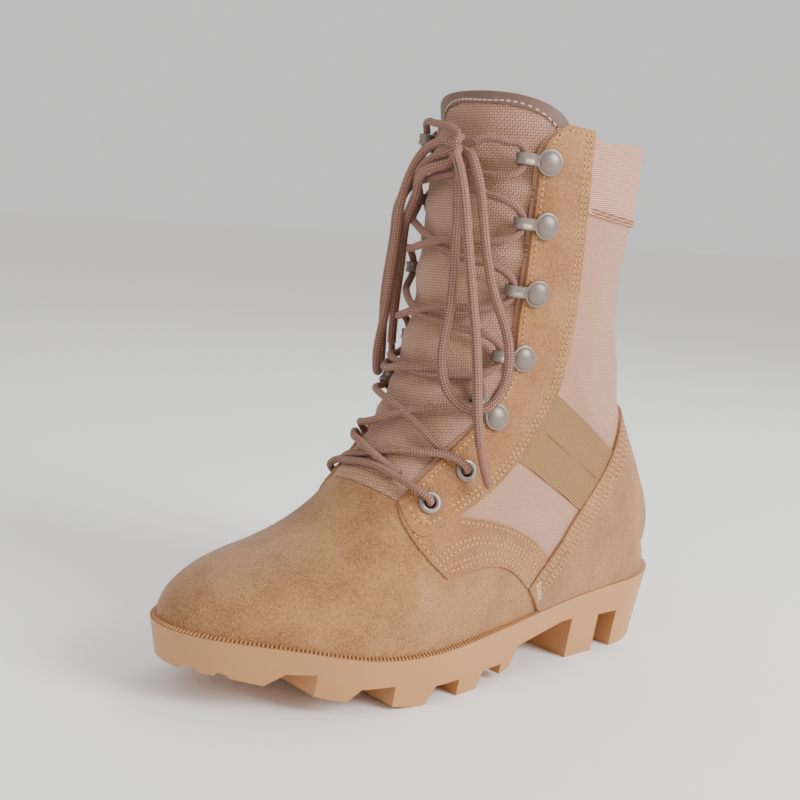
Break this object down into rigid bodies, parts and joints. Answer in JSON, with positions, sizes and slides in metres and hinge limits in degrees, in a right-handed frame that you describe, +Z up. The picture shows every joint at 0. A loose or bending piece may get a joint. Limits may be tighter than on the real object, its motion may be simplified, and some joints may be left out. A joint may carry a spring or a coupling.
{
  "type": "combat boot",
  "caption": "Left lace-up combat boot: suede and woven nylon upper with a hollow shaft, padded tongue, hooks, eyelets, tied laces and a lugged sole.",
  "frame": {"origin": "on the floor under the middle of the boot's bounding box", "axes": "+Z up, -Y towards the toe, +X towards the outer (lateral) side of the left foot"},
  "size_m": [0.1113, 0.3041, 0.2876],
  "materials": {
    "sole": "smooth moulded rubber",
    "insole": "knit over foam",
    "upper": "suede vamp and woven nylon quarters",
    "tongue": "padded woven nylon",
    "overlay": "suede",
    "hook": "matt baked paint",
    "eyelet": "matt baked paint",
    "lace": "round braid",
    "aglet": "shrunk sleeve"
  },
  "bodies": {
    "root": {"outsole": "sole", "insole": "insole", "upper": "upper", "tongue": "tongue", "heel_counter": "overlay", "eyestay_lateral": "overlay", "eyestay_medial": "overlay", "eyelet_lateral_1": "eyelet", "eyelet_lateral_2": "eyelet", "hook_lateral_1": "hook", "hook_lateral_2": "hook", "hook_lateral_3": "hook", "hook_lateral_4": "hook", "hook_lateral_5": "hook", "eyelet_medial_1": "eyelet", "eyelet_medial_2": "eyelet", "hook_medial_1": "hook", "hook_medial_2": "hook", "hook_medial_3": "hook", "hook_medial_4": "hook", "hook_medial_5": "hook", "lace_low_cross": "lace", "lace_crossings": "lace", "lace_knot": "lace", "lace_loop_a": "lace", "lace_loop_b": "lace", "lace_end_a": "lace", "lace_end_b": "lace", "aglet_a": "aglet", "aglet_b": "aglet"}
  },
  "joints": []
}
